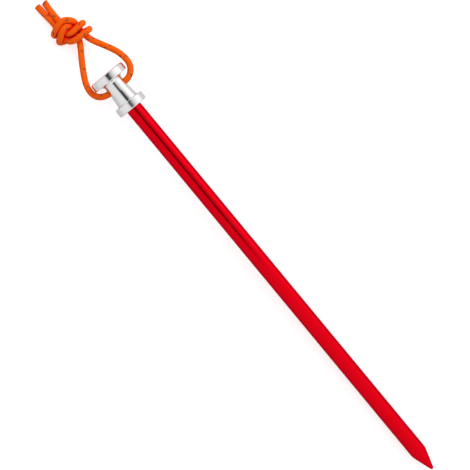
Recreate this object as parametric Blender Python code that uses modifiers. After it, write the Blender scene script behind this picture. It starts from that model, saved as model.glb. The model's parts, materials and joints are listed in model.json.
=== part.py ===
# Tent peg: a red turned rod pressed into a bright turned head, with a pull loop of orange cord.
# Metres, +Z up. The peg lies on the ground, head at -X and tip at +X. It rests on the rim of the
# head's disc and on the shoulder of the rod's cone, and the loop lies beyond the head.
# The turned pieces are modelled standing, with the striking face at z = 0 and the tip straight
# down, under one empty that lays them down. The cord hangs on an empty at the cross hole.

import math

import bpy
import numpy as np
from mathutils import Vector

# Shaft
SHAFT_DIAMETER = 0.0070
SHAFT_LENGTH = 0.1952
TIP_ANGLE = math.radians(36.4)
TIP_RADIUS = 0.0008
SHOULDER_CHAMFER = 0.0003
SPIGOT_DIAMETER = 0.0040
SPIGOT_CHAMFER = 0.0004

# Head, from the striking face down to the flange
DISC_DIAMETER = 0.0164
DISC_THICKNESS = 0.0036
DISC_TOP_ROUND = 0.00085
DISC_LOWER_ROUND = 0.0004
NECK_DIAMETER = 0.0086
NECK_LENGTH = 0.0057
NECK_FILLET = 0.0014
FLARE_DIAMETER = 0.0098
FLARE_LENGTH = 0.0053
FLANGE_DIAMETER = 0.0136
FLANGE_THICKNESS = 0.0037
FLANGE_ROUND = 0.0006

# Cross hole through the neck, for the cord
HOLE_BELOW_DISC = 0.0038
HOLE_MOUTH_FLARE = 0.0005
CORD_CLEARANCE = 0.0004

# Wall between the cross hole and the blind bore, and the gap between pieces that touch
BORE_END_WALL = 0.0015
FIT_GAP = 0.0003

# Cord, and the spacing of the points along its tube
CORD_DIAMETER = 0.0022
LONGEST_STEP = 2.0 * CORD_DIAMETER
STEP_TURN = math.radians(27)

# Facets
TURN_STEPS = 48
HOLE_STEPS = 32
ARC_STEPS = 5
SMOOTH_ANGLE = math.radians(35)
ROUTE_SAMPLES = 4000

# The cord's route, in metres from the middle of the cross hole, with +X towards the tip and +Z up.
# Each half leaves the neck on its own side, goes round the disc and meets the other half in a
# doubled overhand knot: in under the two front strands, over and down at the far side, back up
# behind everything, over the top, down the front and out between the layers as a short tail.
LEFT_ROUTE = (
    (0.0000, 0.0024, 0.0000),
    (0.0000, 0.0046, 0.0000),
    (-0.0004, 0.0066, 0.0000),
    (-0.0015, 0.0084, -0.0001),
    (-0.0031, 0.0097, -0.0003),
    (-0.0053, 0.0104, -0.0006),
    (-0.0080, 0.0104, -0.0011),
    (-0.0115, 0.0096, -0.0018),
    (-0.0150, 0.0081, -0.0025),
    (-0.0185, 0.0063, -0.0032),
    (-0.0220, 0.0046, -0.0039),
    (-0.0255, 0.0037, -0.0043),
    (-0.0290, 0.0034, -0.0043),
    (-0.0312, 0.0035, -0.0039),
    (-0.0328, 0.00355, -0.0023),
    (-0.0344, 0.0024, -0.0010),
    (-0.0358, 0.0002, -0.0006),
    (-0.0355, -0.0025, -0.0009),
    (-0.0345, -0.0049, -0.0021),
    (-0.0338, -0.0062, -0.0040),
    (-0.0331, -0.0059, -0.0060),
    (-0.0323, -0.0038, -0.00685),
    (-0.0312, 0.0000, -0.0069),
    (-0.0304, 0.0033, -0.00685),
    (-0.0301, 0.0054, -0.0060),
    (-0.0299, 0.0061, -0.0040),
    (-0.0299, 0.0052, -0.0021),
    (-0.0298, 0.0026, -0.0015),
    (-0.0298, 0.0000, -0.0016),
    (-0.0305, -0.0014, -0.00235),
    (-0.0324, -0.0017, -0.0033),
    (-0.0365, -0.0011, -0.0037),
    (-0.0400, -0.0011, -0.0051),
    (-0.0435, -0.0010, -0.0065),
    (-0.0471, -0.0007, -0.0069),
)
RIGHT_ROUTE = (
    (0.0000, -0.0024, 0.0000),
    (0.0000, -0.0045, 0.0000),
    (-0.0005, -0.0065, 0.0000),
    (-0.0014, -0.0080, -0.0001),
    (-0.0029, -0.0092, -0.0003),
    (-0.0052, -0.0098, -0.0006),
    (-0.0080, -0.0095, -0.0011),
    (-0.0115, -0.0081, -0.0018),
    (-0.0150, -0.0061, -0.0025),
    (-0.0185, -0.0039, -0.0032),
    (-0.0220, -0.0015, -0.0039),
    (-0.0250, 0.0002, -0.0043),
    (-0.0280, 0.0008, -0.0043),
    (-0.0306, 0.00085, -0.0042),
    (-0.0324, 0.0010, -0.0026),
    (-0.0331, -0.0006, -0.0009),
    (-0.0325, -0.0029, -0.0009),
    (-0.0312, -0.0049, -0.0018),
    (-0.0303, -0.0062, -0.0034),
    (-0.0298, -0.0064, -0.0052),
    (-0.0291, -0.0052, -0.0066),
    (-0.0283, -0.0024, -0.0069),
    (-0.0275, 0.0010, -0.0069),
    (-0.0267, 0.0042, -0.00685),
    (-0.0263, 0.0061, -0.0056),
    (-0.0262, 0.0066, -0.0037),
    (-0.0262, 0.0054, -0.0020),
    (-0.0262, 0.0024, -0.0015),
    (-0.0264, -0.0008, -0.0018),
    (-0.0275, -0.0030, -0.0031),
    (-0.0300, -0.0038, -0.0043),
    (-0.0332, -0.0038, -0.0044),
    (-0.0365, -0.0035, -0.0046),
    (-0.0400, -0.0036, -0.0056),
    (-0.0438, -0.0039, -0.0066),
    (-0.0477, -0.0041, -0.0069),
)

# Sizes that follow from the ones above. Depths run down from the striking face.
neck_end_depth = DISC_THICKNESS + NECK_LENGTH
flange_top_depth = neck_end_depth + FLARE_LENGTH
flange_end_depth = flange_top_depth + FLANGE_THICKNESS
hole_radius = CORD_DIAMETER / 2 + CORD_CLEARANCE
hole_depth = DISC_THICKNESS + HOLE_BELOW_DISC
bore_radius = SPIGOT_DIAMETER / 2 + FIT_GAP
bore_top_depth = hole_depth + hole_radius + BORE_END_WALL
shaft_top_depth = flange_end_depth + FIT_GAP
tip_depth = shaft_top_depth + SHAFT_LENGTH
shaft_radius = SHAFT_DIAMETER / 2
half_tip_angle = TIP_ANGLE / 2
cone_length = shaft_radius / math.tan(half_tip_angle) - TIP_RADIUS * (
    1 / math.sin(half_tip_angle) - 1
)
cone_depth = tip_depth - cone_length


def new_collection(name):
    collection = bpy.data.collections.new(name)
    bpy.context.scene.collection.children.link(collection)
    return collection


def new_empty(name, location):
    empty = bpy.data.objects.new(name, None)
    empty.location = location
    parts.objects.link(empty)
    return empty


def principled(name, colour, metallic, roughness):
    material = bpy.data.materials.new(name)
    material.use_nodes = True
    shader = material.node_tree.nodes["Principled BSDF"]
    shader.inputs["Base Color"].default_value = (*colour, 1.0)
    shader.inputs["Metallic"].default_value = metallic
    shader.inputs["Roughness"].default_value = roughness
    return material


def arc(radius_at_centre, height_at_centre, radius, start, end):
    """Points of an arc in the profile's plane, from one angle to another, in degrees."""
    angles = np.radians(np.linspace(start, end, ARC_STEPS + 1))
    return [
        (radius_at_centre + radius * math.cos(a), height_at_centre + radius * math.sin(a))
        for a in angles
    ]


def turned(name, profile, steps, collection):
    """An object that a profile of (radius, height) points sweeps about its own Z axis."""
    mesh = bpy.data.meshes.new(name)
    points = [(radius, 0.0, height) for radius, height in profile]
    mesh.from_pydata(points, [(i, i + 1) for i in range(len(points) - 1)], [])
    piece = bpy.data.objects.new(name, mesh)
    collection.objects.link(piece)
    screw = piece.modifiers.new("Turn", "SCREW")
    screw.steps = steps
    screw.render_steps = steps
    screw.use_merge_vertices = True
    screw.merge_threshold = 0.00001
    return piece


def as_smooth_mesh(piece):
    """Keeps what the modifiers make as the object's own mesh, smooth except at its edges."""
    bpy.context.view_layer.update()
    evaluated = piece.evaluated_get(bpy.context.evaluated_depsgraph_get())
    piece.data = bpy.data.meshes.new_from_object(evaluated)
    piece.modifiers.clear()
    piece.data.shade_smooth()
    piece.data.set_sharp_from_angle(angle=SMOOTH_ANGLE)


def head_profile():
    disc_radius = DISC_DIAMETER / 2
    neck_radius = NECK_DIAMETER / 2
    flange_radius = FLANGE_DIAMETER / 2
    top, lower = DISC_TOP_ROUND, DISC_LOWER_ROUND
    return [
        (0.0, 0.0),
        *arc(disc_radius - top, -top, top, 90, 0),
        *arc(disc_radius - lower, lower - DISC_THICKNESS, lower, 0, -90),
        *arc(neck_radius + NECK_FILLET, -DISC_THICKNESS - NECK_FILLET, NECK_FILLET, 90, 180),
        (neck_radius, -neck_end_depth),
        (FLARE_DIAMETER / 2, -flange_top_depth),
        *arc(flange_radius - FLANGE_ROUND, -flange_top_depth - FLANGE_ROUND, FLANGE_ROUND, 90, 0),
        *arc(flange_radius - FLANGE_ROUND, FLANGE_ROUND - flange_end_depth, FLANGE_ROUND, 0, -90),
        (bore_radius, -flange_end_depth),
        (bore_radius, -bore_top_depth),
        (0.0, -bore_top_depth),
    ]


def make_cross_hole():
    """The cutter for the cord's hole, with its two mouths opened out."""
    mouth_radius = hole_radius + HOLE_MOUTH_FLARE
    mouth = NECK_DIAMETER / 2
    throat = mouth - HOLE_MOUTH_FLARE
    reach = mouth + HOLE_MOUTH_FLARE
    profile = [
        (0.0, reach),
        (mouth_radius, reach),
        (mouth_radius, mouth),
        (hole_radius, throat),
        (hole_radius, -throat),
        (mouth_radius, -mouth),
        (mouth_radius, -reach),
        (0.0, -reach),
    ]
    cutter = turned("cross_hole_cutter", profile, HOLE_STEPS, cutters)
    cutter.rotation_euler.x = math.pi / 2
    cutter.location.z = -hole_depth
    cutter.hide_render = True
    cutter.display_type = "WIRE"
    return cutter


def make_head():
    head = turned("head", head_profile(), TURN_STEPS, parts)
    cut = head.modifiers.new("Cross hole", "BOOLEAN")
    cut.operation = "DIFFERENCE"
    cut.solver = "EXACT"
    cut.object = make_cross_hole()
    as_smooth_mesh(head)
    head.data.materials.append(principled("bright turned aluminium", (0.80, 0.80, 0.82), 1.0, 0.18))
    return head


def make_shaft():
    spigot_radius = SPIGOT_DIAMETER / 2
    spigot_top = bore_top_depth + FIT_GAP
    profile = [
        (0.0, -spigot_top),
        (spigot_radius - SPIGOT_CHAMFER, -spigot_top),
        (spigot_radius, -spigot_top - SPIGOT_CHAMFER),
        (spigot_radius, -shaft_top_depth),
        (shaft_radius - SHOULDER_CHAMFER, -shaft_top_depth),
        (shaft_radius, -shaft_top_depth - SHOULDER_CHAMFER),
        (shaft_radius, -cone_depth),
        *arc(0.0, TIP_RADIUS - tip_depth, TIP_RADIUS, -math.degrees(half_tip_angle), -90),
    ]
    profile[-1] = (0.0, -tip_depth)
    shaft = turned("shaft", profile, TURN_STEPS, parts)
    as_smooth_mesh(shaft)
    shaft.data.materials.append(principled("red anodised aluminium", (0.55, 0.004, 0.012), 1.0, 0.30))
    return shaft


def smooth_route(points, count):
    """Evenly timed points of the natural cubic spline through the route's points."""
    route = np.array(points)
    reach = np.sqrt(np.linalg.norm(np.diff(route, axis=0), axis=1))
    knots = np.concatenate([[0.0], np.cumsum(reach)])
    size = len(route)
    system = np.eye(size)
    bend = np.zeros((size, 3))
    for i in range(1, size - 1):
        before, after = reach[i - 1], reach[i]
        system[i, i - 1 : i + 2] = before, 2 * (before + after), after
        slopes = (route[i + 1] - route[i]) / after - (route[i] - route[i - 1]) / before
        bend[i] = 6 * slopes
    curvature = np.linalg.solve(system, bend)
    times = np.linspace(0.0, knots[-1], count)
    at = np.clip(np.searchsorted(knots, times, side="right") - 1, 0, size - 2)
    span = reach[at][:, None]
    left = (knots[at + 1] - times)[:, None]
    right = (times - knots[at])[:, None]
    return (
        (curvature[at] * left**3 + curvature[at + 1] * right**3) / (6 * span)
        + (route[at] / span - curvature[at] * span / 6) * left
        + (route[at + 1] / span - curvature[at + 1] * span / 6) * right
    )


def tube_points(points):
    """Points along the smooth route, closer together where it bends."""
    fine = smooth_route(points, ROUTE_SAMPLES)
    steps = np.diff(fine, axis=0)
    lengths = np.linalg.norm(steps, axis=1)
    headings = steps / lengths[:, None]
    kept = [fine[0]]
    travelled, start = 0.0, headings[0]
    for i in range(1, len(steps)):
        travelled += lengths[i - 1]
        turned_by = math.acos(min(1.0, float(headings[i] @ start)))
        if travelled >= LONGEST_STEP or turned_by >= STEP_TURN:
            kept.append(fine[i])
            travelled, start = 0.0, headings[i]
    if travelled < CORD_DIAMETER / 2:
        kept.pop()
    return kept + [fine[-1]]


def make_cord_half(name, side, route):
    """One side of the loop, from the middle of the cross hole to the end of its tail."""
    points = tube_points([(0.0, side * FIT_GAP / 2, 0.0), *route])
    curve = bpy.data.curves.new(name, "CURVE")
    curve.dimensions = "3D"
    curve.bevel_depth = CORD_DIAMETER / 2
    curve.bevel_resolution = 2
    curve.use_fill_caps = True
    spline = curve.splines.new("POLY")
    spline.points.add(len(points) - 1)
    for spot, point in zip(spline.points, points):
        spot.co = (*point, 1.0)
    half = bpy.data.objects.new(name, curve)
    parts.objects.link(half)
    curve.materials.append(principled(f"{name} sheath", (1.0, 0.12, 0.005), 0.0, 0.75))
    print(f"{name}: {len(points)} points")
    return half


def lie_down(peg_axis):
    """Tilts the standing peg until it lies on its widest rim and on the shoulder of the cone."""
    rims = (
        (DISC_DIAMETER / 2, DISC_THICKNESS - DISC_LOWER_ROUND),
        (FLANGE_DIAMETER / 2, flange_end_depth - FLANGE_ROUND),
    )
    tilt = max(math.atan((radius - shaft_radius) / (cone_depth - depth)) for radius, depth in rims)
    height = max(radius * math.cos(tilt) + depth * math.sin(tilt) for radius, depth in rims)
    face_radius = DISC_DIAMETER / 2 - DISC_TOP_ROUND
    head_end = -face_radius * math.sin(tilt)
    peg_axis.rotation_euler.y = tilt - math.pi / 2
    peg_axis.location = (-(tip_depth * math.cos(tilt) + head_end) / 2, 0.0, height)


for leftover in list(bpy.data.objects):
    bpy.data.objects.remove(leftover, do_unlink=True)

parts = new_collection("tent_peg")
cutters = new_collection("tent_peg_cutters")

peg_axis = new_empty("peg_axis", (0.0, 0.0, 0.0))
head = make_head()
shaft = make_shaft()
for turned_piece in (head, shaft, *cutters.objects):
    turned_piece.parent = peg_axis
lie_down(peg_axis)
bpy.context.view_layer.update()

# The loop swings about the cross hole, so its empty sits at the middle of that hole.
loop_pivot = new_empty("loop_pivot", peg_axis.matrix_world @ Vector((0.0, 0.0, -hole_depth)))
for name, side, route in (("cord_left", 1, LEFT_ROUTE), ("cord_right", -1, RIGHT_ROUTE)):
    make_cord_half(name, side, route).parent = loop_pivot
bpy.context.view_layer.update()
print("cross hole at", [round(value, 5) for value in loop_pivot.location])
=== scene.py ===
import json
import math

import bmesh
import bpy
import numpy as np
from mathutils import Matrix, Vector


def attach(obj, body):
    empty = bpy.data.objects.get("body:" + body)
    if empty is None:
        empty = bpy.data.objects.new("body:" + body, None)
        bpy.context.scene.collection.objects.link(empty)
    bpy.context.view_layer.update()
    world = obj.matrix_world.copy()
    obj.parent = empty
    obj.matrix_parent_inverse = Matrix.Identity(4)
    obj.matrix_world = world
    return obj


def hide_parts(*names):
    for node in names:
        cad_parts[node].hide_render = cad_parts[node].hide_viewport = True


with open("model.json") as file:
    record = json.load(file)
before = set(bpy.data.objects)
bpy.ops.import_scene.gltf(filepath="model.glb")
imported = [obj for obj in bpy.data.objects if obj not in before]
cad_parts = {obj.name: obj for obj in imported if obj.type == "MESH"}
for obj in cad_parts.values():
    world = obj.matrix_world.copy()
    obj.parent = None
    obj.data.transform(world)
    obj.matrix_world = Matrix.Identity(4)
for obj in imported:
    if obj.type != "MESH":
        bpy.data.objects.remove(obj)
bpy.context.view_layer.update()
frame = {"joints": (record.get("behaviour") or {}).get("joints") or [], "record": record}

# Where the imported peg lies: its striking face, the way to its tip, and the cross hole of the cord
strikeFace = next(mount for mount in frame["record"]["mounts"] if mount["name"] == "strike_face")
pegTop = Vector(strikeFace["pos_m"])
pegWay = -Vector(strikeFace["axis"]).normalized()
pegTilt = math.atan2(-pegWay.z, pegWay.x)
crossHole = Vector(frame["joints"][0]["pos_m"])
print(
    "peg lies at", [round(value, 5) for value in pegTop], "tilted", round(math.degrees(pegTilt), 3)
)

# The camera looks straight down, rolled so that the peg runs to the lower right
cameraView = {
    "aim": (-0.02072, -0.00134),     # the point below the middle of the picture
    "axisHeight": 0.0060,            # mean height of the peg's axis
    "distance": 4.0,
    "pictureWidth": 0.19585,         # what the picture spans at the axis
    "roll": 50.39,
    "sensor": 36.0,
    "clip": (0.01, 50.0),
}


def makeCamera(settings):
    data = bpy.data.cameras.new("photoCamera")
    data.sensor_width = settings["sensor"]
    data.lens = settings["sensor"] * settings["distance"] / settings["pictureWidth"]
    data.clip_start, data.clip_end = settings["clip"]
    camera = bpy.data.objects.new("photoCamera", data)
    bpy.context.scene.collection.objects.link(camera)
    camera.location = (*settings["aim"], settings["axisHeight"] + settings["distance"])
    camera.rotation_euler = (0.0, 0.0, math.radians(settings["roll"]))
    bpy.context.scene.camera = camera


makeCamera(cameraView)
print("camera set")


def pickOnly(piece):
    bpy.ops.object.select_all(action="DESELECT")
    piece.select_set(True)
    bpy.context.view_layer.objects.active = piece


def applyModifiers(piece):
    pickOnly(piece)
    for modifier in list(piece.modifiers):
        bpy.ops.object.modifier_apply(modifier=modifier.name)


# Nodes: the owner is a material or the world, and a value is a number, a colour or a socket
def plug(owner, socket, value):
    if isinstance(value, bpy.types.NodeSocket):
        owner.node_tree.links.new(value, socket)
    else:
        socket.default_value = value


def feed(owner, node, inputs):
    for name, value in inputs.items():
        plug(owner, node.inputs[name], value)


def addNode(owner, kind, inputs=None, **settings):
    made = owner.node_tree.nodes.new(kind)
    for name, value in settings.items():
        setattr(made, name, value)
    feed(owner, made, inputs or {})
    return made


def newMaterial(name):
    material = bpy.data.materials.new(name)
    material.use_nodes = True
    return material, material.node_tree.nodes["Principled BSDF"]


def maths(owner, operation, *values):
    made = addNode(owner, "ShaderNodeMath", dict(enumerate(values)), operation=operation)
    return made.outputs["Value"]


def mixColours(owner, factor, first, second):
    mix = addNode(owner, "ShaderNodeMix", data_type="RGBA")
    plug(owner, mix.inputs["Factor"], factor)
    plug(owner, mix.inputs[6], first)
    plug(owner, mix.inputs[7], second)
    return mix.outputs[2]


def rangeOf(owner, value, low, high, toLow, toHigh):
    made = addNode(
        owner,
        "ShaderNodeMapRange",
        {"Value": value, "From Min": low, "From Max": high, "To Min": toLow, "To Max": toHigh},
        clamp=True,
    )
    return made.outputs["Result"]


def noiseOf(owner, vector, scale, detail, dimensions="3D"):
    made = addNode(
        owner,
        "ShaderNodeTexNoise",
        {"Vector": vector, "Scale": scale, "Detail": detail},
        noise_dimensions=dimensions,
    )
    return made.outputs["Fac"]


def stretched(owner, vector, scale):
    made = addNode(owner, "ShaderNodeMapping", {"Vector": vector, "Scale": scale})
    return made.outputs["Vector"]


def bumpOf(owner, height, strength, depth):
    made = addNode(
        owner, "ShaderNodeBump", {"Height": height, "Strength": strength, "Distance": depth}
    )
    return made.outputs["Normal"]


# The cord: points from the middle of the cross hole, with +X towards the tip and +Z up. Each half
# goes round the disc and through the doubled overhand knot, and ends as a short tail.
leftRoute = [
    (0.0000, 0.0000, 0.0000),
    (0.0000, 0.0024, 0.0000),
    (0.0000, 0.0046, 0.0000),
    (-0.0004, 0.0066, 0.0000),
    (-0.0015, 0.0084, -0.0001),
    (-0.0031, 0.0097, -0.0003),
    (-0.0053, 0.0104, -0.0006),
    (-0.0080, 0.0104, -0.0011),
    (-0.0115, 0.0096, -0.0018),
    (-0.0150, 0.0081, -0.0025),
    (-0.0185, 0.0063, -0.0032),
    (-0.0220, 0.0046, -0.0039),
    (-0.0255, 0.0037, -0.0043),
    (-0.0290, 0.0034, -0.0043),
    (-0.0312, 0.0035, -0.0039),
    (-0.0328, 0.00355, -0.0023),
    (-0.0344, 0.0024, -0.0010),
    (-0.0358, 0.0002, -0.0006),
    (-0.0355, -0.0025, -0.0009),
    (-0.0345, -0.0049, -0.0021),
    (-0.0338, -0.0062, -0.0040),
    (-0.0331, -0.0059, -0.0060),
    (-0.0323, -0.0038, -0.00685),
    (-0.0312, 0.0000, -0.0069),
    (-0.0304, 0.0033, -0.00685),
    (-0.0301, 0.0054, -0.0060),
    (-0.0299, 0.0061, -0.0040),
    (-0.0299, 0.0052, -0.0021),
    (-0.0298, 0.0026, -0.0015),
    (-0.0298, 0.0000, -0.0016),
    (-0.0305, -0.0014, -0.00235),
    (-0.0324, -0.0017, -0.0033),
    (-0.0365, -0.0011, -0.0037),
    (-0.0400, -0.0011, -0.0051),
    (-0.0435, -0.0010, -0.0065),
    (-0.0471, -0.0007, -0.0069),
]
rightRoute = [
    (0.0000, 0.0000, 0.0000),
    (0.0000, -0.0024, 0.0000),
    (0.0000, -0.0045, 0.0000),
    (-0.0005, -0.0065, 0.0000),
    (-0.0014, -0.0080, -0.0001),
    (-0.0029, -0.0092, -0.0003),
    (-0.0052, -0.0098, -0.0006),
    (-0.0080, -0.0095, -0.0011),
    (-0.0115, -0.0081, -0.0018),
    (-0.0150, -0.0061, -0.0025),
    (-0.0185, -0.0039, -0.0032),
    (-0.0220, -0.0015, -0.0039),
    (-0.0250, 0.0002, -0.0043),
    (-0.0280, 0.0008, -0.0043),
    (-0.0306, 0.00085, -0.0042),
    (-0.0324, 0.0010, -0.0026),
    (-0.0331, -0.0006, -0.0009),
    (-0.0325, -0.0029, -0.0009),
    (-0.0312, -0.0049, -0.0018),
    (-0.0303, -0.0062, -0.0034),
    (-0.0298, -0.0064, -0.0052),
    (-0.0291, -0.0052, -0.0066),
    (-0.0283, -0.0024, -0.0069),
    (-0.0275, 0.0010, -0.0069),
    (-0.0267, 0.0042, -0.00685),
    (-0.0263, 0.0061, -0.0056),
    (-0.0262, 0.0066, -0.0037),
    (-0.0262, 0.0054, -0.0020),
    (-0.0262, 0.0024, -0.0015),
    (-0.0264, -0.0008, -0.0018),
    (-0.0275, -0.0030, -0.0031),
    (-0.0300, -0.0038, -0.0043),
    (-0.0332, -0.0038, -0.0044),
    (-0.0365, -0.0035, -0.0046),
    (-0.0400, -0.0036, -0.0056),
    (-0.0438, -0.0039, -0.0066),
    (-0.0477, -0.0041, -0.0069),
]
pullCord = {
    "diameter": 0.00265,
    "leftLength": 0.0997,
    "rightLength": 0.1038,
    "mouthReach": 0.0043,            # from the middle of the cross hole to its mouth
    "strandsEachWay": 8,
    "weavePitch": 0.0078,            # length in which a strand goes once round
    "weaveDepth": 0.00012,
    "strandDome": (2.6, 0.7),        # how flat a strand's back is, and how steep its sides
    "strandDive": 0.60,              # share of its height that it loses where it goes under
    "diveShape": 0.6,
    "pointsAround": 80,
    "ringSpacing": 0.000125,
    "routeSamples": 6000,
    "restHeight": 0.00138,           # of the middle of the cord, where it lies on the floor
    "restSoftness": 0.0002,
    "meltedEnd": 0.0007,
    "meltedHeight": 0.55,            # of the surface, where the weave has melted flat
    "roundedShare": 0.45,            # share of the melted end that is rounded off
    "roundedAway": 0.80,             # share of the section that is gone at the very end
    "endBulge": 0.00012,
    "leftSlant": 0.30,               # lean of the cut across each tail
    "rightSlant": 0.05,
    "orange": (1.0, 0.156, 0.0060, 1.0),
    "deepOrange": (0.95, 0.066, 0.0025, 1.0),
    "fleck": (0.23, 0.085, 0.032, 1.0),
    "fleckFades": 0.6,               # towards the edges of the dark strand
    "melt": (0.50, 0.022, 0.001, 1.0),
    # painted shade: the deep red laid where other strands shut the cord in
    "creviceShade": (1.0, 0.010, 0.0010, 1.0),
    "creviceShadeReach": (0.16, 0.72),    # share of its view that is shut in, from no painted shade to the deepest
    "creviceShadeSharpness": 1.1,
    "creviceShadeSkip": 0.0065,           # length of the cord that counts as the same strand
    "creviceShadeView": 0.006,            # strands further off than this are passed over
    "creviceShadeStep": 6,                # only every sixth point of the other strands is measured
    "toneScatter": (12.9898, 78.233, 43758.5453),
    "fibreScale": (70.0, 22.0, 1.0),
    "fibreBump": (0.5, 0.00003),     # strength and depth
    "wornScale": 420.0,
    "paintedGrooveShade": 0.75,               # how far each of these goes towards the deep orange; the first is painted shade where the strands dip between each other
    "toneShade": 0.16,
    "wornShade": 0.22,
    "fibreShade": 0.22,
    "roughness": 0.62,
    "meltRoughness": 0.32,
    "specular": 0.05,
    "sheen": 0.08,
    "sheenRoughness": 0.4,
    "sheenTint": (1.0, 0.30, 0.05, 1.0),
}


def smoothRoute(points, count):
    # natural cubic spline, timed by the square root of each step's length
    route = np.array(points)
    reach = np.sqrt(np.linalg.norm(np.diff(route, axis=0), axis=1))
    knots = np.concatenate([[0.0], np.cumsum(reach)])
    size = len(route)
    system = np.eye(size)
    bend = np.zeros((size, 3))
    for i in range(1, size - 1):
        before, after = reach[i - 1], reach[i]
        system[i, i - 1 : i + 2] = before, 2 * (before + after), after
        bend[i] = 6 * ((route[i + 1] - route[i]) / after - (route[i] - route[i - 1]) / before)
    curvature = np.linalg.solve(system, bend)
    times = np.linspace(0.0, knots[-1], count)
    at = np.clip(np.searchsorted(knots, times, side="right") - 1, 0, size - 2)
    span = reach[at][:, None]
    left = (knots[at + 1] - times)[:, None]
    right = (times - knots[at])[:, None]
    return (
        (curvature[at] * left**3 + curvature[at + 1] * right**3) / (6 * span)
        + (route[at] / span - curvature[at] * span / 6) * left
        + (route[at + 1] / span - curvature[at + 1] * span / 6) * right
    )


def evenPoints(points, kit):
    fine = smoothRoute(points, kit["routeSamples"])
    steps = np.linalg.norm(np.diff(fine, axis=0), axis=1)
    travelled = np.concatenate([[0.0], np.cumsum(steps)])
    count = int(round(travelled[-1] / kit["ringSpacing"])) + 1
    stops = np.linspace(0.0, travelled[-1], count)
    return np.stack([np.interp(stops, travelled, fine[:, axis]) for axis in range(3)], 1), stops


def restOnFloor(points, kit):
    # lifts the low stretches just clear of the floor
    over = points[:, 2] - kit["restHeight"]
    points[:, 2] = kit["restHeight"] + (over + np.sqrt(over**2 + kit["restSoftness"] ** 2)) / 2


def centrelineOf(route, kit):
    # the middle of the cord, ring by ring, and how far along the cord each ring is
    points, stops = evenPoints([Vector(point) + crossHole for point in route], kit)
    restOnFloor(points, kit)
    return points, stops


def carriedFrames(points):
    # the cord's way at each point, and two directions across it, carried along without twist
    ways = np.gradient(points, axis=0)
    ways /= np.linalg.norm(ways, axis=1)[:, None]
    across = np.zeros_like(points)
    start = np.array([0.0, 0.0, 1.0])
    across[0] = start - ways[0] * (start @ ways[0])
    across[0] /= np.linalg.norm(across[0])
    for i in range(1, len(points)):
        carried = across[i - 1] - ways[i] * (across[i - 1] @ ways[i])
        across[i] = carried / np.linalg.norm(carried)
    return ways, across, np.cross(ways, across)


def weave(around, along, kit):
    # a braid in which each strand goes over two and under two. Gives the height of its surface,
    # which strand shows, a number for the stretch that shows, and the place across that strand.
    strands = kit["strandsEachWay"]
    back, sides = kit["strandDome"]
    first = strands * (around + along / kit["weavePitch"])
    second = strands * (around - along / kit["weavePitch"])
    i, j = np.floor(first).astype(int), np.floor(second).astype(int)
    a, b = first - i - 0.5, second - j - 0.5
    turn = (i + j) % 4
    firstShows = turn < 2
    acrossStrand = np.where(firstShows, a, b)
    step = np.where(firstShows, b, a) + 0.5
    alongStrand = (step + (turn % 2)) / 2
    dome = np.clip(1 - np.abs(2 * acrossStrand) ** back, 0, 1) ** sides
    over = np.sin(math.pi * np.clip(alongStrand, 0, 1)) ** kit["diveShape"]
    height = dome * (1 - kit["strandDive"] + kit["strandDive"] * over)
    name = np.where(firstShows, i % strands, strands + j % strands)
    run = np.where(firstShows, (i + j) // 4 * 7 + i, (i + j) // 4 * 11 + j * 3)
    return height, name, run, acrossStrand


def creviceShadeAmount(shell, outward, stops, own, others, kit):
    # painted shade: 0 where the surface is free, and towards 1 where other strands shut it in and
    # shade falls
    low, high = kit["creviceShadeReach"]
    every = kit["creviceShadeStep"]
    line, places = own[0][::every], own[1][::every]
    seen = kit["diameter"] * kit["ringSpacing"] * every / math.pi
    covered = np.zeros(shell.shape[:2])
    for i, stop in enumerate(stops):
        apart = np.abs(places - stop) > kit["creviceShadeSkip"]
        near = np.concatenate([line[apart], others[::every]])
        near = near[np.linalg.norm(near - shell[i].mean(axis=0), axis=1) < kit["creviceShadeView"]]
        if len(near):
            ways = near[None] - shell[i][:, None, :]
            away = np.maximum(np.linalg.norm(ways, axis=2), kit["diameter"] / 2)
            facing = np.clip(np.einsum("ijk,ik->ij", ways, outward[i]) / away, 0, 1)
            covered[i] = (facing * seen / away**2).sum(axis=1)
    return np.clip((covered - low) / (high - low), 0, 1) ** kit["creviceShadeSharpness"]


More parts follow.
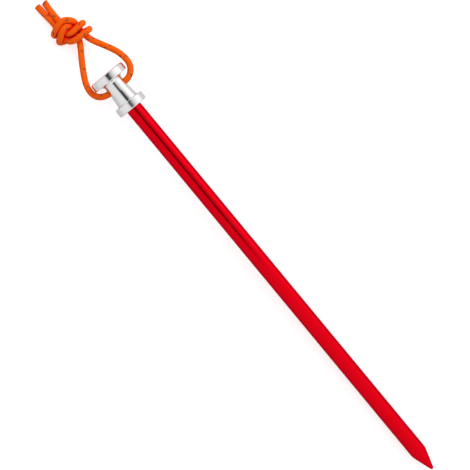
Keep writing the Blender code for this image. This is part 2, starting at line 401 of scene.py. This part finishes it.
def makeCordHalf(name, own, others, slant, kit):
    points, stops = own
    ways, across, other = carriedFrames(points)
    rings, size = len(points), kit["pointsAround"]
    around, along = np.broadcast_arrays(np.arange(size)[None, :] / size, stops[:, None])
    height, strand, run, acrossStrand = weave(around, along, kit)
    left = stops[-1] - stops
    melt = np.clip(1 - left / kit["meltedEnd"], 0, 1)[:, None]
    soft = melt * melt * (3 - 2 * melt)
    height = height * (1 - soft) + kit["meltedHeight"] * soft
    radius = kit["diameter"] / 2 + kit["weaveDepth"] * (height - 0.5)
    # the end is rounded off where the melted sheath has drawn in
    rounding = np.clip(1 - left / (kit["roundedShare"] * kit["meltedEnd"]), 0, 1)[:, None]
    radius = radius * np.sqrt(np.clip(1 - rounding**2 * kit["roundedAway"], 0, 1))
    angle = 2 * math.pi * around
    outward = np.cos(angle)[..., None] * across[:, None] + np.sin(angle)[..., None] * other[:, None]
    shell = points[:, None, :] + radius[..., None] * outward
    # a slanting cut: the last rings lean, further out on the +Y side
    leaning = np.clip(1 - left / (2 * kit["meltedEnd"]), 0, 1)[:, None]
    lean = slant * leaning * radius * outward[..., 1]
    shell = shell + lean[..., None] * ways[:, None, :]
    poles = [[points[0]], [points[-1] + ways[-1] * kit["endBulge"]]]
    vertices = np.concatenate([shell.reshape(-1, 3), *poles])
    quads = quadsBetweenRings(rings, size)
    startPole, endPole = rings * size, rings * size + 1
    last = (rings - 1) * size
    caps = [(startPole, (k + 1) % size, k) for k in range(size)]
    caps += [(endPole, last + k, last + (k + 1) % size) for k in range(size)]
    mesh = bpy.data.meshes.new(name)
    mesh.from_pydata(vertices.tolist(), [], [*quads.tolist(), *caps])
    piece = bpy.data.objects.new(name, mesh)
    bpy.context.scene.collection.objects.link(piece)
    paintWeave(mesh, strand, run, acrossStrand, melt, kit)
    # painted shade in the crevices, from how far other strands shut each point in
    paintCreviceShade(mesh, creviceShadeAmount(shell, outward, stops, own, others, kit))
    layAlongUV(mesh, len(quads), size, stops, kit)
    mesh.shade_smooth()
    return piece


def quadsBetweenRings(rings, size):
    ring, spot = np.meshgrid(np.arange(rings - 1), np.arange(size), indexing="ij")
    nextSpot = (spot + 1) % size
    lower, upper = ring * size, (ring + 1) * size
    corners = [lower + spot, lower + nextSpot, upper + nextSpot, upper + spot]
    return np.stack(corners, -1).reshape(-1, 4)


def paintWeave(mesh, strand, run, acrossStrand, melt, kit):
    # red: fleck strand, green: towards a strand's edge, which also sets the painted shade between
    # strands, blue: tone of this strand, alpha: melted
    perRun, perStrand, spread = kit["toneScatter"]
    edge = np.abs(2 * acrossStrand) ** 2
    fleck = np.where(strand == 0, 1 - kit["fleckFades"] * edge, 0.0)
    tone = np.modf(np.sin(run * perRun + strand * perStrand) * spread)[0] % 1.0
    melted = np.broadcast_to(melt, strand.shape)
    colour = np.stack([fleck, edge, tone, melted], -1).reshape(-1, 4)
    poles = np.array([[0.0, 1.0, 0.5, 0.0], [0.0, 0.2, 0.5, 1.0]])
    paint = mesh.attributes.new("strandPaint", "FLOAT_COLOR", "POINT")
    paint.data.foreach_set("color", np.concatenate([colour, poles]).astype(np.float32).ravel())


def paintCreviceShade(mesh, depth):
    # painted shade in the crevices, one value a point; the two poles are never in a crevice
    creviceShade = mesh.attributes.new("creviceShade", "FLOAT", "POINT")
    creviceShade.data.foreach_set("value", np.append(depth.ravel(), [0.0, 0.0]).astype(np.float32))


def layAlongUV(mesh, quadCount, size, stops, kit):
    # U goes once round the cord, and V is its length in units of one turn round it
    turn = math.pi * kit["diameter"]
    corners = np.zeros((len(mesh.loops), 2), np.float32)
    spot = np.arange(size)
    ring = np.arange(len(stops) - 1)
    u = np.stack([spot, spot + 1, spot + 1, spot], -1) / size
    v = np.stack([stops[ring], stops[ring], stops[ring + 1], stops[ring + 1]], -1) / turn
    wall = quadCount * 4
    corners[:wall, 0] = np.broadcast_to(u[None], (len(ring), size, 4)).reshape(-1)
    corners[:wall, 1] = np.broadcast_to(v[:, None], (len(ring), size, 4)).reshape(-1)
    capCorners = len(mesh.loops) - wall
    corners[wall:, 0] = np.repeat(np.concatenate([spot, spot]) / size, 3)[:capCorners]
    corners[wall:, 1] = np.repeat([0.0, stops[-1] / turn], capCorners // 2)
    layer = mesh.uv_layers.new(name="alongCord")
    layer.uv.foreach_set("vector", corners.ravel())


def makeSheath(kit):
    material, shader = newMaterial("orange braided sheath")
    paint = addNode(material, "ShaderNodeAttribute", attribute_name="strandPaint")
    creviceShadeMask = addNode(material, "ShaderNodeAttribute", attribute_name="creviceShade")
    parts = addNode(material, "ShaderNodeSeparateColor", {"Color": paint.outputs["Color"]})
    uv = addNode(material, "ShaderNodeUVMap", uv_map="alongCord")
    place = addNode(material, "ShaderNodeTexCoord")
    fibres = noiseOf(material, stretched(material, uv.outputs["UV"], kit["fibreScale"]), 1.0, 3.0)
    patches = noiseOf(material, place.outputs["Object"], kit["wornScale"], 2.0)
    body = kit["orange"]
    for mask, low, high, shade in (
        # painted shade: darker towards each strand's edge, where the strands dip between each other
        (parts.outputs["Green"], 0.25, 1.0, kit["paintedGrooveShade"]),
        (parts.outputs["Blue"], 0.0, 1.0, kit["toneShade"]),
        (patches, 0.45, 0.75, kit["wornShade"]),
        (fibres, 0.35, 0.75, kit["fibreShade"]),
    ):
        amount = rangeOf(material, mask, low, high, 0.0, shade)
        body = mixColours(material, amount, body, kit["deepOrange"])
    # painted shade: deeper red where other strands shut the cord in
    body = mixColours(material, creviceShadeMask.outputs["Fac"], body, kit["creviceShade"])
    flecked = mixColours(material, parts.outputs["Red"], body, kit["fleck"])
    melted = paint.outputs["Alpha"]
    feed(material, shader, {
        "Base Color": mixColours(material, melted, flecked, kit["melt"]),
        "Roughness": rangeOf(material, melted, 0.0, 1.0, kit["roughness"], kit["meltRoughness"]),
        "Specular IOR Level": kit["specular"],
        "Sheen Weight": kit["sheen"],
        "Sheen Roughness": kit["sheenRoughness"],
        "Sheen Tint": kit["sheenTint"],
        "Normal": bumpOf(material, fibres, *kit["fibreBump"]),
    })
    return material


sheath = makeSheath(pullCord)
leftLine = centrelineOf(leftRoute, pullCord)
rightLine = centrelineOf(rightRoute, pullCord)
for cordName, own, others, side, slant, length, node in (
    (
        "cordLeft", leftLine, rightLine[0], 1,
        pullCord["leftSlant"], pullCord["leftLength"], "cord_left",
    ),
    (
        "cordRight", rightLine, leftLine[0], -1,
        pullCord["rightSlant"], pullCord["rightLength"], "cord_right",
    ),
):
    cordHalf = makeCordHalf(cordName, own, others, slant, pullCord)
    cordHalf.data.materials.append(sheath)
    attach(cordHalf, "loop")
    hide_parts(node)
    print(cordName, "made,", len(cordHalf.data.polygons), "faces")


# Turned pieces: modelled standing, striking face at z = 0 and tip down, then laid along the peg
def spinOutline(name, outline, steps):
    bpy.ops.object.select_all(action="DESELECT")
    bpy.ops.mesh.primitive_plane_add(size=0.001, location=(0.0, 0.0, 0.0))
    piece = bpy.context.object
    piece.name = piece.data.name = name
    bpy.ops.object.mode_set(mode="EDIT")
    bpy.ops.mesh.select_mode(type="VERT")
    bpy.ops.mesh.select_all(action="SELECT")
    bpy.ops.mesh.merge(type="CENTER")
    radius, depth = outline[0]
    bpy.ops.transform.translate(value=(radius, 0.0, -depth))
    for nextRadius, nextDepth in outline[1:]:
        step = (nextRadius - radius, 0.0, depth - nextDepth)
        bpy.ops.mesh.extrude_region_move(TRANSFORM_OT_translate={"value": step})
        radius, depth = nextRadius, nextDepth
    bpy.ops.mesh.select_all(action="SELECT")
    bpy.ops.mesh.spin(steps=steps, angle=2 * math.pi, center=(0.0, 0.0, 0.0), axis=(0.0, 0.0, 1.0))
    bpy.ops.mesh.select_all(action="SELECT")
    bpy.ops.mesh.remove_doubles(threshold=0.000002)
    bpy.ops.mesh.normals_make_consistent(inside=False)
    bpy.ops.object.mode_set(mode="OBJECT")
    return piece


def roundRings(piece, rings):
    # each ring is (radius, depth, size of the round, segments)
    pickOnly(piece)
    bpy.ops.object.mode_set(mode="EDIT")
    bpy.ops.mesh.select_mode(type="EDGE")
    near = 0.00001
    for radius, depth, size, segments in rings:
        bpy.ops.mesh.select_all(action="DESELECT")
        sheet = bmesh.from_edit_mesh(piece.data)
        for edge in sheet.edges:
            edge.select = all(
                abs(math.hypot(v.co.x, v.co.y) - radius) < near and abs(v.co.z + depth) < near
                for v in edge.verts
            )
        sheet.select_flush_mode()
        bmesh.update_edit_mesh(piece.data)
        bpy.ops.mesh.bevel(offset=size, segments=segments, affect="EDGES", clamp_overlap=False)
    bpy.ops.object.mode_set(mode="OBJECT")


def finishTurned(piece, smoothAngle):
    pickOnly(piece)
    piece.rotation_euler.y = pegTilt - math.pi / 2
    piece.location = pegTop
    bpy.ops.object.transform_apply(location=True, rotation=True, scale=True)
    bpy.ops.object.shade_smooth_by_angle(angle=math.radians(smoothAngle))
    weighted = piece.modifiers.new("even shading", "WEIGHTED_NORMAL")
    weighted.keep_sharp = True
    applyModifiers(piece)


def pegCoordinates(material):
    # the place on the standing peg, the same as (distance from the axis, height), and the height
    place = addNode(material, "ShaderNodeTexCoord")
    standing = addNode(
        material,
        "ShaderNodeMapping",
        {
            "Vector": place.outputs["Object"],
            "Location": pegTop,
            "Rotation": (0.0, pegTilt - math.pi / 2, 0.0),
        },
        vector_type="TEXTURE",
    ).outputs["Vector"]
    flat = addNode(
        material, "ShaderNodeVectorMath", {0: standing, 1: (1.0, 1.0, 0.0)}, operation="MULTIPLY"
    )
    radius = addNode(
        material, "ShaderNodeVectorMath", {0: flat.outputs["Vector"]}, operation="LENGTH"
    )
    height = addNode(material, "ShaderNodeSeparateXYZ", {"Vector": standing}).outputs["Z"]
    rings = addNode(
        material, "ShaderNodeCombineXYZ", {"X": radius.outputs["Value"], "Y": height}
    )
    return standing, rings.outputs["Vector"], height


# The shaft, from the end of its spigot to its tip. Depths run down from the striking face.
rod = {
    "radius": 0.0035,
    "spigotRadius": 0.0020,
    "spigotTop": 0.0108,
    "spigotChamfer": 0.0004,
    "shoulderDepth": 0.01832,
    "shoulderChamfer": 0.0003,
    "coneDepth": 0.20470,
    "coneSoftening": 0.0009,
    "tipDepth": 0.21380,
    "tipRadius": 0.0008,
    "tipHalfAngle": 18.2,
    "steps": 144,
    "lengths": 8,                    # faces along the barrel
    "noseSteps": 8,
    "smoothAngle": 35,
    "red": (0.83, 0.0008, 0.0095, 1.0),
    "deepRed": (0.72, 0.0006, 0.0080, 1.0),
    "edgeRed": (0.90, 0.50, 0.60, 1.0),
    "drawnScale": (3200.0, 3200.0, 40.0),    # fine lines along the barrel
    "turnedScale": 9000.0,                   # fine rings round the cone
    "coneBlend": 0.0004,                     # over which the lines give way to the rings
    "cloudScale": 90.0,
    "drawnShade": 0.30,                      # how far each goes towards the deep red
    "cloudShade": 0.25,
    "roughness": 0.175,
    "roughnessSpread": (0.03, 0.05),         # below and above it
    "grainBump": (0.35, 0.000004),
    "coat": 0.02,
    "coatRoughness": 0.12,
}


def rodOutline(kit):
    centre = kit["tipDepth"] - kit["tipRadius"]
    angles = np.radians(np.linspace(kit["tipHalfAngle"], 90.0, kit["noseSteps"] + 1))
    nose = [
        (kit["tipRadius"] * math.cos(angle), centre + kit["tipRadius"] * math.sin(angle))
        for angle in angles
    ]
    nose[-1] = (0.0, kit["tipDepth"])
    barrel = np.linspace(kit["shoulderDepth"], kit["coneDepth"], kit["lengths"] + 1)[1:]
    return [
        (0.0, kit["spigotTop"]),
        (kit["spigotRadius"], kit["spigotTop"]),
        (kit["spigotRadius"], kit["shoulderDepth"]),
        (kit["radius"], kit["shoulderDepth"]),
        *[(kit["radius"], depth) for depth in barrel],
        *nose,
    ]


def makeRedAnodised(kit):
    material, shader = newMaterial("red anodised rod")
    standing, rings, height = pegCoordinates(material)
    drawn = noiseOf(material, stretched(material, standing, kit["drawnScale"]), 1.0, 3.0)
    turned = noiseOf(material, rings, kit["turnedScale"], 2.0, "2D")
    clouds = noiseOf(material, standing, kit["cloudScale"], 3.0)
    cone, blend = -kit["coneDepth"], kit["coneBlend"]
    onCone = rangeOf(material, height, cone - blend, cone + blend, 1.0, 0.0)
    grain = addNode(
        material, "ShaderNodeMix", {"Factor": onCone, "A": drawn, "B": turned}, data_type="FLOAT"
    ).outputs["Result"]
    tone = rangeOf(material, drawn, 0.35, 0.65, 0.0, kit["drawnShade"])
    colour = mixColours(material, tone, kit["red"], kit["deepRed"])
    cloudy = rangeOf(material, clouds, 0.40, 0.70, 0.0, kit["cloudShade"])
    below, above = kit["roughnessSpread"]
    smooth, rough = kit["roughness"] - below, kit["roughness"] + above
    feed(material, shader, {
        "Base Color": mixColours(material, cloudy, colour, kit["deepRed"]),
        "Metallic": 1.0,
        "Roughness": rangeOf(material, grain, 0.30, 0.70, smooth, rough),
        "Normal": bumpOf(material, grain, *kit["grainBump"]),
        "Specular Tint": kit["edgeRed"],
        "Coat Weight": kit["coat"],
        "Coat Roughness": kit["coatRoughness"],
    })
    return material


turnedShaft = spinOutline("turnedShaft", rodOutline(rod), rod["steps"])
roundRings(turnedShaft, [
    (rod["radius"], rod["shoulderDepth"], rod["shoulderChamfer"], 3),
    (rod["radius"], rod["coneDepth"], rod["coneSoftening"], 4),
    (rod["spigotRadius"], rod["spigotTop"], rod["spigotChamfer"], 2),
])
finishTurned(turnedShaft, rod["smoothAngle"])
turnedShaft.data.materials.append(makeRedAnodised(rod))
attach(turnedShaft, "peg")
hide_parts("shaft")
print("shaft turned,", len(turnedShaft.data.polygons), "faces")

# The head, a spool between the striking disc and the flange
spool = {
    "discRadius": 0.0082,
    "discThickness": 0.0036,
    "discTopRound": 0.00085,
    "discLowerRound": 0.0004,
    "neckRadius": 0.0043,
    "neckFillet": 0.0015,
    "neckEnd": 0.0093,
    "neckEndRound": 0.0006,
    "flareRadius": 0.0049,
    "flareRound": 0.00025,
    "flangeTop": 0.0146,
    "flangeRadius": 0.0068,
    "flangeEnd": 0.0183,
    "flangeRound": 0.0006,
    "boreRadius": 0.00202,
    "boreTop": 0.0105,
    "holeDepth": 0.0074,
    "holeRadius": 0.0015,
    "mouthFlare": 0.0003,
    "mouthClear": 0.0001,            # the flare starts this far outside the neck
    "mouthSteps": 6,
    "cutterPast": 0.0008,            # the cutter's bar ends this far outside the neck
    "neckRings": (0.0018, 0.0007),   # how far they stay from the disc and from the flare
    "neckRingSpacing": 0.00025,
    "steps": 160,
    "holeSteps": 64,
    "smoothAngle": 30,
    "bright": (0.93, 0.93, 0.935, 1.0),
    "dull": (0.82, 0.82, 0.83, 1.0),
    "markScale": 7000.0,
    "bandScale": 1400.0,
    "smudgeScale": 260.0,
    "bandShade": 0.35,               # how far the bands go towards the dull tone
    "roughness": 0.11,
    "smudgeRoughness": 0.07,
    "markRoughness": 0.04,
    "markBump": (0.30, 0.000003),
}


def spoolOutline(kit):
    # the neck has rings close together over most of the cross hole, clear of its rounded ends
    first = kit["discThickness"] + kit["neckRings"][0]
    last = kit["neckEnd"] - kit["neckRings"][1]
    neck = np.arange(first, last, kit["neckRingSpacing"])
    return [
        (0.0, 0.0),
        (kit["discRadius"] / 2, 0.0),
        (kit["discRadius"], 0.0),
        (kit["discRadius"], kit["discThickness"]),
        (kit["neckRadius"], kit["discThickness"]),
        *[(kit["neckRadius"], float(depth)) for depth in neck],
        (kit["neckRadius"], kit["neckEnd"]),
        (kit["flareRadius"], kit["flangeTop"]),
        (kit["flangeRadius"], kit["flangeTop"]),
        (kit["flangeRadius"], kit["flangeEnd"]),
        (kit["boreRadius"], kit["flangeEnd"]),
        (kit["boreRadius"], kit["boreTop"]),
        (0.0, kit["boreTop"]),
    ]


def cutCrossHole(piece, kit):
    # the cutter is a turned bar with its two ends opened out to round the hole's mouths
    flare = kit["mouthFlare"]
    reach = kit["neckRadius"] + kit["cutterPast"]
    mouth = kit["neckRadius"] + kit["mouthClear"]
    wide = kit["holeRadius"] + flare
    bend = [
        (wide - flare * math.sin(angle), mouth - flare * (1 - math.cos(angle)))
        for angle in np.radians(np.linspace(0.0, 90.0, kit["mouthSteps"] + 1))
    ]
    half = [(0.0, reach), (wide, reach), *bend]
    otherHalf = [(radius, -height) for radius, height in reversed(half)]
    outline = [(radius, -height) for radius, height in half + otherHalf]
    cutter = spinOutline("crossHoleCutter", outline, kit["holeSteps"])
    cutter.rotation_euler.x = math.pi / 2
    cutter.location.z = -kit["holeDepth"]
    cut = piece.modifiers.new("cross hole", "BOOLEAN")
    cut.operation = "DIFFERENCE"
    cut.solver = "EXACT"
    cut.object = cutter
    applyModifiers(piece)
    bpy.data.objects.remove(cutter)


def makeBrightTurned(kit):
    material, shader = newMaterial("bright turned head")
    standing, rings, _ = pegCoordinates(material)
    marks = noiseOf(material, rings, kit["markScale"], 3.0, "2D")
    bands = noiseOf(material, rings, kit["bandScale"], 2.0, "2D")
    smudges = noiseOf(material, standing, kit["smudgeScale"], 4.0)
    tone = rangeOf(material, bands, 0.35, 0.75, 0.0, kit["bandShade"])
    low, high = kit["roughness"], kit["roughness"] + kit["smudgeRoughness"]
    smudged = rangeOf(material, smudges, 0.40, 0.75, low, high)
    marked = rangeOf(material, marks, 0.30, 0.70, 0.0, kit["markRoughness"])
    feed(material, shader, {
        "Base Color": mixColours(material, tone, kit["bright"], kit["dull"]),
        "Metallic": 1.0,
        "Roughness": maths(material, "ADD", smudged, marked),
        "Normal": bumpOf(material, marks, *kit["markBump"]),
    })
    return material


turnedHead = spinOutline("turnedHead", spoolOutline(spool), spool["steps"])
roundRings(turnedHead, [
    (spool["discRadius"], 0.0, spool["discTopRound"], 6),
    (spool["discRadius"], spool["discThickness"], spool["discLowerRound"], 4),
    (spool["neckRadius"], spool["discThickness"], spool["neckFillet"], 6),
    (spool["neckRadius"], spool["neckEnd"], spool["neckEndRound"], 3),
    (spool["flareRadius"], spool["flangeTop"], spool["flareRound"], 3),
    (spool["flangeRadius"], spool["flangeTop"], spool["flangeRound"], 5),
    (spool["flangeRadius"], spool["flangeEnd"], spool["flangeRound"], 5),
])
cutCrossHole(turnedHead, spool)
finishTurned(turnedHead, spool["smoothAngle"])
turnedHead.data.materials.append(makeBrightTurned(spool))
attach(turnedHead, "peg")
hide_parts("head")
print("head turned,", len(turnedHead.data.polygons), "faces")

# Studio: a pale floor, an even pale surrounding, a soft lamp that no reflection shows, a softbox
# that only reflections show, and a dark strip that the metal mirrors
studio = {
    "floorSize": 8.0,
    "floorColour": (0.86, 0.86, 0.86, 1.0),
    "floorGlow": 0.54,               # added where the camera sees the floor
    "floorGlowInGloss": 0.1,         # share of that glow in what the metal mirrors
    "floorInGloss": 0.80,            # how bright the metal mirrors the floor
    "floorRoughness": 0.9,
    "floorSpecular": 0.1,
    "skyForDiffuse": 0.66,
    "skyForGloss": 0.89,
    "skySideChange": 0.11,           # more towards +Y and less towards -Y
    "lampPlace": (-0.30, 0.75, 0.55),
    "lampAim": (-0.05, 0.0, 0.0),    # of both lamps
    "lampSize": (0.6, 0.6),
    "lampPower": 4.2,
    "softboxPlace": (-0.305, 0.80, 0.28),
    "softboxSize": (0.69, 0.36),
    "softboxPower": 0.48,
    "stripHeight": 0.15,
    "stripEnds": (-4.0, -0.0044),
    "stripFade": 0.006,
    "stripOverhang": 0.2,            # so that the plane goes on where the strip has faded out
    "stripSides": (-0.225, 0.225),
    "stripProfile": [                # place across it, and how dark it is there
        (-0.085, 0.0), (-0.048, 0.12), (-0.031, 0.30), (-0.0175, 1.0),
        (0.0125, 1.0), (0.030, 0.66), (0.065, 0.30), (0.138, 0.0),
    ],
    "stripGlow": (0.02, 0.12),       # over the head, and over the shaft
    "stripGlowEnds": (-0.094, -0.080),
    "stripWidens": 0.022,            # towards +Y, beyond the head
    "stripWidensEnds": (-0.118, -0.108),
    "stripWidensOver": 0.03,         # it starts at the middle and is whole this far to the side
}


def makeFloor(kit):
    bpy.ops.object.select_all(action="DESELECT")
    bpy.ops.mesh.primitive_plane_add(size=kit["floorSize"], location=(0.0, 0.0, 0.0))
    floor = bpy.context.object
    floor.name = "floor"
    material, shader = newMaterial("pale floor")
    path = addNode(material, "ShaderNodeLightPath").outputs
    dimmed = [value * kit["floorInGloss"] for value in kit["floorColour"][:3]] + [1.0]
    seen = maths(material, "MAXIMUM", path["Is Camera Ray"], path["Is Transmission Ray"])
    mirrored = maths(material, "MULTIPLY", path["Is Glossy Ray"], kit["floorGlowInGloss"])
    glowing = maths(material, "MAXIMUM", seen, mirrored)
    feed(material, shader, {
        "Base Color": mixColours(material, path["Is Glossy Ray"], kit["floorColour"], dimmed),
        "Roughness": kit["floorRoughness"],
        "Specular IOR Level": kit["floorSpecular"],
        "Emission Color": (1.0, 1.0, 1.0, 1.0),
        "Emission Strength": maths(material, "MULTIPLY", glowing, kit["floorGlow"]),
    })
    floor.data.materials.append(material)


def makeSky(kit):
    world = bpy.context.scene.world or bpy.data.worlds.new("studio")
    bpy.context.scene.world = world
    world.use_nodes = True
    path = addNode(world, "ShaderNodeLightPath").outputs
    way = addNode(world, "ShaderNodeTexCoord")
    sides = addNode(world, "ShaderNodeSeparateXYZ", {"Vector": way.outputs["Generated"]})
    more = kit["skyForGloss"] - kit["skyForDiffuse"]
    forGloss = maths(world, "MULTIPLY_ADD", sides.outputs["Y"], kit["skySideChange"], more)
    lit = maths(world, "MULTIPLY_ADD", path["Is Glossy Ray"], forGloss, kit["skyForDiffuse"])
    seen = maths(world, "MAXIMUM", path["Is Camera Ray"], path["Is Transmission Ray"])
    feed(world, world.node_tree.nodes["Background"], {
        "Color": (1.0, 1.0, 1.0, 1.0),
        "Strength": maths(world, "MAXIMUM", lit, seen),
    })


def makeLamp(name, place, aim, size, power):
    data = bpy.data.lights.new(name, "AREA")
    data.shape = "RECTANGLE"
    data.size, data.size_y = size
    data.energy = power
    lamp = bpy.data.objects.new(name, data)
    bpy.context.scene.collection.objects.link(lamp)
    lamp.location = place
    lamp.rotation_mode = "QUATERNION"
    lamp.rotation_quaternion = (Vector(aim) - Vector(place)).to_track_quat("-Z", "Y")
    lamp.visible_camera = False
    return lamp


def makeDarkStrip(kit):
    # what the metal mirrors above it: a dark strip that fades out at its sides and its near end
    low, high = kit["stripEnds"]
    side, otherSide = kit["stripSides"]
    past, fade = kit["stripOverhang"], kit["stripFade"]
    bpy.ops.object.select_all(action="DESELECT")
    bpy.ops.mesh.primitive_plane_add(size=1.0, location=(0.0, 0.0, 0.0))
    strip = bpy.context.object
    strip.name = "darkStrip"
    strip.scale = (high - low + past, otherSide - side, 1.0)
    strip.location = ((low + high + past) / 2, (side + otherSide) / 2, kit["stripHeight"])
    bpy.ops.object.transform_apply(location=True, rotation=True, scale=True)
    material = bpy.data.materials.new("dark strip")
    material.use_nodes = True
    material.node_tree.nodes.clear()
    place = addNode(material, "ShaderNodeTexCoord")
    parts = addNode(material, "ShaderNodeSeparateXYZ", {"Vector": place.outputs["Object"]})
    x, y = parts.outputs["X"], parts.outputs["Y"]
    widens = rangeOf(material, x, *kit["stripWidensEnds"], kit["stripWidens"], 0.0)
    onSide = rangeOf(material, y, 0.0, kit["stripWidensOver"], 0.0, 1.0)
    moved = maths(material, "SUBTRACT", y, maths(material, "MULTIPLY", widens, onSide))
    across = rangeOf(material, moved, side, otherSide, 0.0, 1.0)
    ramp = addNode(material, "ShaderNodeValToRGB", {"Fac": across})
    elements = ramp.color_ramp.elements
    while len(elements) < len(kit["stripProfile"]):
        elements.new(0.5)
    # all the places first, because moving a stop can change their order
    for element, (spot, _) in zip(elements, kit["stripProfile"]):
        element.position = (spot - side) / (otherSide - side)
    for element, (_, dark) in zip(elements, kit["stripProfile"]):
        element.color = (dark, dark, dark, 1.0)
    ending = rangeOf(material, x, high - fade, high + fade, 1.0, 0.0)
    cover = maths(material, "MULTIPLY", ramp.outputs["Color"], ending)
    clear = addNode(material, "ShaderNodeBsdfTransparent")
    glow = rangeOf(material, x, *kit["stripGlowEnds"], *kit["stripGlow"])
    dim = addNode(material, "ShaderNodeEmission", {"Strength": glow})
    mixed = addNode(
        material,
        "ShaderNodeMixShader",
        {"Fac": cover, 1: clear.outputs["BSDF"], 2: dim.outputs["Emission"]},
    )
    addNode(material, "ShaderNodeOutputMaterial", {"Surface": mixed.outputs["Shader"]})
    strip.data.materials.append(material)
    strip.visible_camera = False
    strip.visible_diffuse = False
    strip.visible_transmission = False
    strip.visible_volume_scatter = False
    strip.visible_shadow = False


makeFloor(studio)
makeSky(studio)
keyLamp = makeLamp(
    "keyLamp", studio["lampPlace"], studio["lampAim"], studio["lampSize"], studio["lampPower"]
)
keyLamp.visible_glossy = False
softbox = makeLamp(
    "softbox",
    studio["softboxPlace"],
    studio["lampAim"],
    studio["softboxSize"],
    studio["softboxPower"],
)
softbox.visible_diffuse = False
makeDarkStrip(studio)
bpy.context.scene.view_settings.view_transform = "Standard"
print("studio set")
